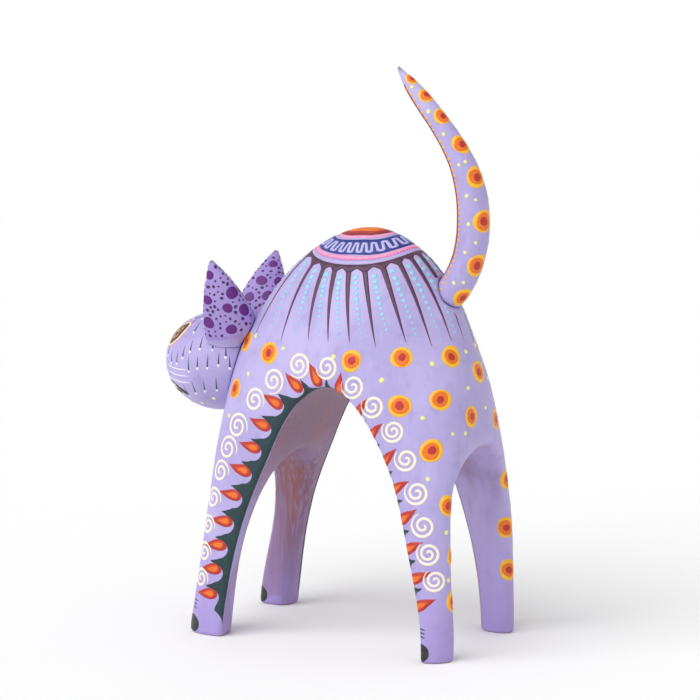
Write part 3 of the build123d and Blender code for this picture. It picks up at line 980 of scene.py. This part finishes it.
def band_reach(edge, s):
    """Inner and outer distance of the green border at s: scallops round the drops, cusps between."""
    centre = at_station(DROP_D, s)
    inner = min(centre - 11.2, -0.9 if edge.side > 0 else FAR_INNER)
    halfway = [k - 0.5 for k in range(DROP_COUNT + 1)]
    number = at_station([(at_station(DROP_S, k), k) for k in halfway], s)
    half = (at_station(DROP_S, number + 0.4) - at_station(DROP_S, number - 0.4)) / 1.6
    offset = abs((number - round(number)) * 2 * half)
    radius = DROP_WIDTH / 2 + 1.1
    blunt = centre - DROP_LENGTH / 2 + DROP_WIDTH / 2
    if offset < radius:
        return inner, blunt - math.sqrt(radius**2 - offset**2)
    share = min(1.0, (offset - radius) / (half - radius))
    return inner, blunt + at_station(CUSP_RISE, s) * share**1.5


def paint_border(edges):
    """Dark-green border along the arch, with a cusp between each two drops."""
    paint = Paint("body", "arch_border", "green")
    first, last = at_station(DROP_S, -0.5), at_station(DROP_S, DROP_COUNT - 0.5)
    for edge in edges:
        end = min(edge.length - BAND_END, last + 4.6)
        start = [BAND_END, *np.linspace(BAND_END + 0.8, first - 0.4, 6)]
        grid = []
        for s in [*start, *np.arange(first, last, 0.5), *np.linspace(last, end, 7)]:
            inner, outer = band_reach(edge, min(max(s, first), last))
            share = min(1.0, (s - BAND_END) / (first - BAND_END), (end - s) / (end - last))
            outer = inner + 0.15 + (outer - inner) * max(0.0, share) ** 2.0
            reach = [inner + (outer - inner) * (k / 14) ** 1.35 for k in range(15)]
            grid.append([edge.at(s - 0.2 * max(0.0, d), d) for d in reach])
        paint.sheet(grid, [[0.03] + [THIN + 0.05] * 13 + [0.03]] * len(grid))
    paint.build()


def paint_spirals(edges):
    """Cream spirals outside the border."""
    paint = Paint("body", "arch_spirals", "cream")
    for edge in edges:
        for k in range(SPIRAL_COUNT):
            s = at_station(SPIRAL_S, k)
            start = math.radians(270 if k < 8 else 200) + random.uniform(-0.25, 0.25)
            size = at_station(SPIRAL_RADIUS, k) * random.uniform(0.9, 1.02)
            spiral(paint, edge.spot(s, at_station(SPIRAL_D, s)), start, size)
    paint.build()


def spiral(paint, spot, start, size):
    """One spiral stroke of about two turns, from the outside to the middle."""
    turns = random.uniform(1.8, 2.1)
    line, widths = [], []
    for share in (n / 52 for n in range(53)):
        angle = start + 2 * math.pi * turns * (1 - (1 - share) ** 1.15)
        reach = size * (1 - share) ** 0.9 + 0.3
        line.append((reach * math.cos(angle), reach * math.sin(angle) * 1.04))
        widths.append((0.74 - 0.14 * share) * min(1.0, 0.3 + 5 * share, 0.6 + 8 * (1 - share)))
    paint.stroke(spot.at, line, widths, BEAD)


def torso_spot(surface, degrees, height):
    """Spot on the outside of the torso or a leg, in a direction from the torso's axis."""
    axis = Vector((0, body_middle() + 3.0, height))
    plan = plan_direction(degrees)
    hit = surface.cast(axis + plan * 150, -plan)
    if hit is None or hit[0].dot(plan) < 0:
        hit = surface.nearest(axis + plan * 78)
    return Spot(surface, hit[0])


def flower(paint, spot, radius):
    """Yellow dab with an orange one and a red one on it, each a little off centre."""
    paint.disc(spot, radius, THICK, 0, 26, 0.05)
    for share, material, base in ((0.72, 1, THICK), (0.36, 2, THICK + 0.08)):
        inner = spot.moved(*[random.uniform(-0.06, 0.06) * radius for _ in range(2)])
        paint.disc(inner, radius * share * random.uniform(0.94, 1.06), 0.09, material, 22, 0.06, base=base)


def paint_flowers(surface):
    """Ringed flowers over the flanks, the rump and the legs."""
    paint = Paint("body", "flowers", "yellow", "orange", "red")
    for degrees, height in FLOWERS + [(180 - a, z + 3) for a, z in FLOWERS] + REAR_FLOWERS:
        flower(paint, torso_spot(surface, degrees, height), FLOWER_RADIUS * random.uniform(0.93, 1.05))
    for degrees, height in LEG_FLOWERS + [(172 - a, z + 3) for a, z in LEG_FLOWERS]:
        flower(paint, torso_spot(surface, degrees, height), LEG_FLOWER_RADIUS)
    paint.build()


def paint_small_dots(surface):
    """Pale yellow dots between the flowers."""
    paint = Paint("body", "small_dots", "pale_yellow")
    for degrees, height in SMALL_DOTS + [(180 - a, z + 2) for a, z in SMALL_DOTS] + REAR_DOTS:
        paint.bead(torso_spot(surface, degrees, height), random.uniform(0.95, 1.3))
    paint.build()


def paint_claws(surface):
    """Black toe patches and three short lines above them on each foot."""
    paint = Paint("body", "claws", "black")
    for mount in frame["record"]["mounts"]:
        x, y = (value / METRE for value in mount["pos_m"][:2])
        side = 1 if x > 0 else -1

        def corner(height, way=1):
            towards = Vector((way * side * 0.72, -0.69, 0)).normalized()
            return surface.cast(Vector((x, y, height)) + towards * 19, -towards)[0]

        for way in (1, -1) if y < 0 else (1,):
            spot = Spot(surface, corner(TOE_Z, way), hand=way * side).moved(-0.5, 0, side)
            paint.disc(spot, TOE_RADIUS, wobble=0.05, outline=toe)
        for k in range(3):
            tick = Spot(surface, corner(TICK_Z + TICK_STEP * k), hand=side)
            line = [(-1.9 + 0.95 * n, 0.25 * math.sin(n)) for n in range(5)]
            paint.stroke(tick.at, line, [0.16, 0.34, 0.4, 0.34, 0.16])
    paint.build()


def toe(angle):
    """Outline of a toe patch, flatter above."""
    return 1.0 - 0.1 * math.sin(angle) + 0.06 * math.cos(2 * angle)


# ---------------------------------------------------------------- decoration of the head, ears and tail


def head_spot(surface, side, y, z, turn=0.0):
    """Spot on the side of the head at a length and a height."""
    hit = surface.cast(Vector((side * 60, y, z)), Vector((-side, 0, 0)))
    return Spot(surface, hit[0] if hit else (side * 10, y, z), UP, turn, side)


def top_place(surface, x, y):
    """Place straight below a point high above the head."""
    return surface.cast(Vector((x, y, 300)), -UP)[0]


def almond(ratio):
    """Outline of an almond that is longer across than up."""
    def reach(angle):
        c, s = abs(math.cos(angle)), abs(math.sin(angle))
        return 1 / (c**1.5 + (s / ratio) ** 1.5) ** (1 / 1.5)
    return reach


def paint_eyes(surface):
    """Almond eyes: pink halo, yellow ring, black outline, brown iris, pupil and white marks."""
    names = ("pink", "pale_yellow", "black", "brown", "black", "cream", "blush")
    paint = Paint("head", "eyes", *names)
    for side in (1, -1):
        spot = head_spot(surface, side, *EYE, math.radians(58))
        for radius, ratio, base, material in EYE_LAYERS:
            paint.disc(spot, radius, 0.06, material, 36, 0.012, almond(ratio), base)
        middle = spot.moved(-0.4, 0.1, side)
        paint.disc(middle, 2.5, 0.06, 6, 20, 0.02, base=0.24)
        paint.disc(middle, 1.6, 0.06, 4, 16, 0.02, base=0.3)
        paint.disc(spot.moved(0.2, 0.8, side), 0.55, 0.08, 5, 10, 0.05, base=0.36)
        for u in (-4.2, -3.5, 3.0, 3.8):
            line = [(u, -0.7), (u + 0.15, 0.0), (u, 0.7)]
            paint.stroke(spot.at, line, [0.12, 0.22, 0.12], 0.08, 5, 0.24)
    paint.build()


def paint_whiskers(surface):
    """Three long white whiskers on each cheek."""
    paint = Paint("head", "whiskers", "white")
    for side in (1, -1):
        for front_y, front_z, rear_y, rear_z in WHISKERS:
            start, end = Vector((front_y, front_z)), Vector((rear_y, rear_z))
            places = []
            for share in (n / 16 for n in range(17)):
                flat = start.lerp(end, share) + Vector((0, -0.8 * math.sin(math.pi * share)))
                places.append(head_spot(surface, side, flat.x, flat.y).point)
            whisker(paint, surface, places)
    paint.build()


def whisker(paint, surface, places):
    """A thin stroke through places on the surface."""
    grid = []
    for n, place in enumerate(places):
        before, after = places[max(0, n - 1)], places[min(len(places) - 1, n + 1)]
        centre, normal = surface.nearest(place)
        across = (after - before).cross(normal).normalized()
        width = 0.34 * min(1.0, 0.3 + 3 * n / len(places), 0.2 + 3 * (1 - n / len(places)))
        grid.append([surface.nearest(centre + across * width * c) for c in (-1, -0.5, 0.5, 1)])
    paint.sheet(grid, [[EDGE, 0.14, 0.14, EDGE]] * len(grid))


def paint_mouth(surface):
    """Mouth: a black arch with a cream line of teeth in it, and a nose between the whiskers."""
    paint = Paint("head", "mouth", "black", "cream", "pink")
    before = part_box("head")[0].y / METRE - 40

    def face(x, z):
        return surface.cast(Vector((x, before, z)), Vector((0, 1, 0)))

    black, cream = [], []
    for x in (MOUTH_HALF * (2 * n / 44 - 1) for n in range(45)):
        share = abs(x) / MOUTH_HALF
        z = MOUTH_Z - MOUTH_DROP * share**2
        thick = MOUTH_THICK * min(1.0, 0.3 + 7 * (1 - share))
        black.append([face(x, z + thick * c) for c in (-1.7, -1, -0.3, 0.4, 1)])
        cream.append([face(x, z + 0.1 + thick * 0.45 * c) for c in (-1, -0.3, 0.3, 1)])
    paint.sheet(black, [[EDGE, THICK, THICK, THICK, EDGE]] * len(black), 0)
    paint.sheet(cream[3:-3], [[THICK + EDGE, 0.22, 0.22, THICK + EDGE]] * (len(cream) - 6), 1)
    nose = Spot(surface, face(0, NOSE_Z)[0])
    paint.disc(nose, NOSE_RADIUS, THICK, 0, 24, 0.02, nose_outline)
    paint.disc(nose, NOSE_RADIUS - 1.3, 0.08, 2, 22, 0.02, nose_outline, THICK)
    whisker(paint, surface, [face(0, NOSE_Z - 3.5 - n * 1.1)[0] for n in range(4)])
    paint.build()


def nose_outline(angle):
    """Outline of a rounded triangle with a corner down."""
    return 1.0 + 0.16 * math.cos(2 * angle) - 0.2 * math.sin(3 * angle)


def paint_hair(surface):
    """Rows of dark tapered dashes, each with a light dot at its lower end."""
    paint = Paint("head", "hair", "teal", "white")
    for side in (1, -1):
        for y, z in HAIRS:
            y, z = (value + random.uniform(-0.5, 0.5) for value in (y, z))
            hair(paint, head_spot(surface, side, y, z))
        for x, y in TOP_HAIRS:
            hair(paint, Spot(surface, top_place(surface, side * x, y), Vector((0, 1, 0.3)), 0.0, side))
    paint.build()


def hair(paint, spot):
    """One dash, thick at its foot and thin at its top, and its dot."""
    length, lean = random.uniform(5.2, 7.2), random.uniform(-0.35, 0.35)
    line = [(lean * (n / 7) ** 2, length * n / 7) for n in range(8)]
    paint.stroke(spot.at, line, [0.5 * (1 - n / 7.6) for n in range(8)])
    paint.bead(spot.moved(0, -0.7), random.uniform(0.7, 0.88), 1, 12, 0.06)


def paint_face_dots(surface):
    """Pale yellow dots under the cheeks and on the brow."""
    paint = Paint("head", "small_dots", "pale_yellow")
    for side in (1, -1):
        for y, z in CHEEK_DOTS:
            paint.bead(head_spot(surface, side, y, z), random.uniform(0.95, 1.2))
    for x, y in BROW_DOTS:
        paint.bead(Spot(surface, top_place(surface, x, y)), 1.05)
    paint.build()


def paint_ear(surface, head, side):
    """Big purple dots on an ear, with small dark ones scattered between them down to its root."""
    name = "left_ear" if side == 1 else "right_ear"
    paint = Paint(name, "dots", "purple", "dark_purple")
    taken = []
    for x, y, z in EAR_BIG_DOTS:
        spot = Spot(surface, (side * x, y, z), hand=side)
        radius = EAR_BIG_RADIUS * random.uniform(0.82, 1.08) * (0.85 if z > EAR_SLIM_Z else 1.0)
        paint.disc(spot, radius, THICK, 0, 20, 0.06)
        taken.append((spot.point, radius + EAR_GAP))
    low, high = (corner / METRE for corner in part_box(name))
    axis = joint_axis(name + "_pull")
    tip = Vector((side * EAR_TIP.x, EAR_TIP.y, EAR_TIP.z)).dot(axis)
    for _ in range(EAR_GUESSES):
        guess = Vector([random.uniform(low[k] - 2, high[k] + 2) for k in range(3)])
        place, normal = surface.nearest(guess)
        hidden = normal.z < -0.55 or (place - head.nearest(place)[0]).length < 0.8
        on_root = tip - place.dot(axis) > ROOT_FROM + 1.0
        if hidden or on_root or place.z > high.z - 3.5:
            continue
        if all((place - other).length > gap for other, gap in taken):
            paint.disc(Spot(surface, place), random.uniform(0.5, 1.0), THICK, 1, 10, 0.12)
            taken.append((place, EAR_DOT_GAP))
    paint.build()


class TailLine:
    """The tail's middle line and the directions round it."""

    def __init__(self, surface, piece):
        self.surface = surface
        points = vertex_places(piece)
        self.heights = np.arange(points[:, 2].min() + 16, points[:, 2].max() - 2.5, 3.0)
        slabs = [points[np.abs(points[:, 2] - z) < 1.5, 1] for z in self.heights]
        self.middles = evened(np.array([(slab.min() + slab.max()) / 2 for slab in slabs]), 4)

    def at(self, z, degrees):
        """Place and normal round the tail: 0 is its left side and 90 its outer, rear side."""
        y, ahead, behind = (float(np.interp(z + step, self.heights, self.middles)) for step in (0, 2, -2))
        along = Vector((0, ahead - behind, 4)).normalized()
        outer = Vector((0, along.z, -along.y))
        angle = math.radians(degrees)
        away = Vector((math.cos(angle), 0, 0)) + outer * math.sin(angle)
        centre = Vector((0, y, z))
        return self.surface.cast(centre + away * 30, -away) or self.surface.nearest(centre)

    def spot(self, z, degrees):
        return Spot(self.surface, self.at(z, degrees)[0])


def paint_tail(line):
    """Flowers down the outer side and pale dots between and beside them."""
    paint = Paint("tail", "flowers", "yellow", "orange", "red")
    for z, radius in TAIL_FLOWERS:
        flower(paint, line.spot(z, TAIL_FLOWER_SIDE), radius)
    paint.build()
    dots = Paint("tail", "small_dots", "pale_yellow")
    for z in TAIL_SIDE_DOTS:
        for degrees in (8, 172):
            dots.bead(line.spot(z + random.uniform(-1, 1), degrees), random.uniform(0.9, 1.15))
    for (z, _), (above, _) in zip(TAIL_FLOWERS, TAIL_FLOWERS[1:]):
        for degrees in (40, 118) if z < 240 else (118,):
            dots.bead(line.spot((z + above) / 2, degrees), random.uniform(0.85, 1.1))
    dots.build()


def paint_tail_stripe(line):
    """Magenta stripe down the inner side, edged with yellow dots."""
    stripe = Paint("tail", "stripe", "magenta", "yellow")
    top, bottom = line.heights[-1] - 3, line.heights[0] + 1
    grid = []
    for share in (n / 130 for n in range(131)):
        half = TAIL_STRIPE_HALF * min(1.0, 0.4 + 4 * share)
        grid.append([line.at(bottom + (top - bottom) * share, -90 + half * k / 8) for k in range(-8, 9)])
    stripe.sheet(grid, [[0.04] + [THIN + 0.04] * 15 + [0.04]] * len(grid))
    z = bottom + 1
    while z < top:
        for degrees in (-35, -145):
            stripe.bead(line.spot(z, degrees), random.uniform(0.65, 0.85), 1, 10, 0.1)
        z += TAIL_BEAD_STEP
    stripe.build()


# ---------------------------------------------------------------- stage


def paper():
    """Plain matt paper with a faint tone."""
    shader = Shader("paper", 0.85)
    cloud = shader.noise(900, 2.0)
    return shader.finish(shader.mix(shader.ramp(cloud, 0.3, 0.7), linear("fafafa"), linear("fafafa")))


def build_floor():
    """Pale floor that rises into a backdrop far behind."""
    points = [(0, 0, 0)]
    for radius, height in FLOOR_RINGS:
        for angle in (2 * math.pi * k / FLOOR_SIDES for k in range(FLOOR_SIDES)):
            points.append((radius * math.cos(angle), radius * math.sin(angle), height))
    faces = [(0, 1 + k, 1 + (k + 1) % FLOOR_SIDES) for k in range(FLOOR_SIDES)]
    for start in range(1, 1 + (len(FLOOR_RINGS) - 1) * FLOOR_SIDES, FLOOR_SIDES):
        outer = start + FLOOR_SIDES
        for k in range(FLOOR_SIDES):
            after = (k + 1) % FLOOR_SIDES
            faces.append((start + k, outer + k, outer + after, start + after))
    mesh = bpy.data.meshes.new("floor")
    mesh.from_pydata(points, [], faces)
    mesh.materials.append(paper())
    mesh.polygons.foreach_set("use_smooth", [True] * len(faces))
    floor = add_object("floor", mesh)


def build_light():
    """Even pale surroundings and one wide soft light from the cat's left and front."""
    world = bpy.data.worlds.new("studio")
    world.use_nodes = True
    tree = world.node_tree
    split = tree.nodes.new("ShaderNodeSeparateXYZ")
    tree.links.new(tree.nodes.new("ShaderNodeTexCoord").outputs["Generated"], split.inputs[0])
    level = tree.nodes.new("ShaderNodeMapRange")
    for name, number in (("From Min", 0.06), ("From Max", 0.2), ("To Min", 1.0), ("To Max", 0.6)):
        level.inputs[name].default_value = number
    tree.links.new(split.outputs["Z"], level.inputs["Value"])
    background = tree.nodes["Background"].inputs
    tree.links.new(level.outputs["Result"], background["Strength"])
    background["Color"].default_value = (1, 1, 1, 1)
    bpy.context.scene.world = world
    sun = bpy.data.lights.new("key", "SUN")
    sun.energy = SUN_ENERGY
    sun.angle = math.radians(SUN_WIDTH)
    lamp = add_object("key", sun)
    lamp.rotation_mode = "QUATERNION"
    lamp.rotation_quaternion = Vector(SUN_FROM).to_track_quat("Z", "Y")


def build_camera():
    """Camera behind the cat's left hip, a little above it."""
    data = bpy.data.cameras.new("camera")
    data.sensor_width = SENSOR
    data.lens = SENSOR * FOCAL_SHARE
    data.clip_end = 100
    camera = add_object("camera", data)
    azimuth, pitch = math.radians(CAMERA_AZIMUTH), math.radians(CAMERA_PITCH)
    level = Vector((-math.sin(azimuth), math.cos(azimuth), 0)) * math.cos(pitch)
    camera.location = Vector(CAMERA_PLACE) * METRE
    camera.rotation_mode = "QUATERNION"
    camera.rotation_quaternion = (level - UP * math.sin(pitch)).to_track_quat("-Z", "Y")
    bpy.context.scene.camera = camera


# ---------------------------------------------------------------- the whole scene

random.seed(11)
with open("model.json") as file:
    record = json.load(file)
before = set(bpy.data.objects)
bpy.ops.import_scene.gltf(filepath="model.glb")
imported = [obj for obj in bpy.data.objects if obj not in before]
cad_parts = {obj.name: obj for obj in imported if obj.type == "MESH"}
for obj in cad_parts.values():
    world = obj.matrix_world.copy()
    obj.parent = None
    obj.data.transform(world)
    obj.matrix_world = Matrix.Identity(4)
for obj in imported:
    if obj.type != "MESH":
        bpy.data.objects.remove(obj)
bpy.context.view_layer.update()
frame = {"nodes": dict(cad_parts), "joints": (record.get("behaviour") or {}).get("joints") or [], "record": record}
bpy.context.scene.view_settings.view_transform = "Standard"

build_camera()
build_light()
build_floor()

carved = {part: carved_copy(part, rides_on) for part, rides_on in BODIES.items()}
carved_head_surface = Surface(carved["head"])
for part in ("left_ear", "right_ear"):
    feather_root(carved[part], joint_axis(part + "_pull"), carved_head_surface)
surfaces = {part: Surface(piece) for part, piece in carved.items()}

arch_edges = [ArchEdge(surfaces["body"], side) for side in (1, -1)]
mark_arch(carved["body"], arch_edges)

# Bare wood where the tail, the ears and the dowel plug in
ear_holes = []
for ear_name in ("left_ear", "right_ear"):
    peg_low, peg_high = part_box(ear_name + "_peg")
    ear_holes.append(((peg_low + peg_high) / 2 / METRE, joint_axis(ear_name + "_pull"), *PEG_HOLE))
dowel_low, dowel_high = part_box("neck_dowel")
dowel_hole = ((dowel_low + dowel_high) / 2 / METRE, Vector((0, 1, 0)), *DOWEL_HOLE)
tail_axis = joint_axis("tail_pull")
mark_holes(carved["body"], [dowel_hole, (TAIL_SEAT - tail_axis * SEAT_DEPTH, tail_axis, *SEAT_HOLE)])
mark_holes(carved["head"], [dowel_hole] + ear_holes)
mark_holes(carved["left_ear"], ear_holes)
mark_holes(carved["right_ear"], ear_holes)
mark_holes(carved["tail"], [(TAIL_SEAT - tail_axis * PLUG_DEPTH, tail_axis, *PLUG_ZONE)])

finishes = {"body": body_paint(), "head": head_paint(), "left_ear": ear_paint(), "tail": tail_paint()}
finishes["right_ear"] = finishes["left_ear"]
for part, piece in carved.items():
    piece.data.materials.append(finishes[part])
wood = bare_wood()
for part in ("neck_dowel", "left_ear_peg", "right_ear_peg"):
    frame["nodes"][part].data.materials.clear()
    frame["nodes"][part].data.materials.append(wood)

inks = {name: dab_paint(name, *tones) for name, tones in PAINTS.items()}
arched_back = Back(surfaces["body"])
for paint_on_back in (paint_rings, paint_spikes, paint_beads):
    paint_on_back(arched_back)
for paint_on_arch in (paint_border, paint_drops, paint_spirals):
    paint_on_arch(arch_edges)
for paint_on_body in (paint_flowers, paint_small_dots, paint_claws):
    paint_on_body(surfaces["body"])
for paint_on_head in (paint_eyes, paint_whiskers, paint_mouth, paint_hair, paint_face_dots):
    paint_on_head(surfaces["head"])
paint_ear(surfaces["left_ear"], surfaces["head"], 1)
paint_ear(surfaces["right_ear"], surfaces["head"], -1)
tail_line = TailLine(surfaces["tail"], carved["tail"])
paint_tail(tail_line)
paint_tail_stripe(tail_line)
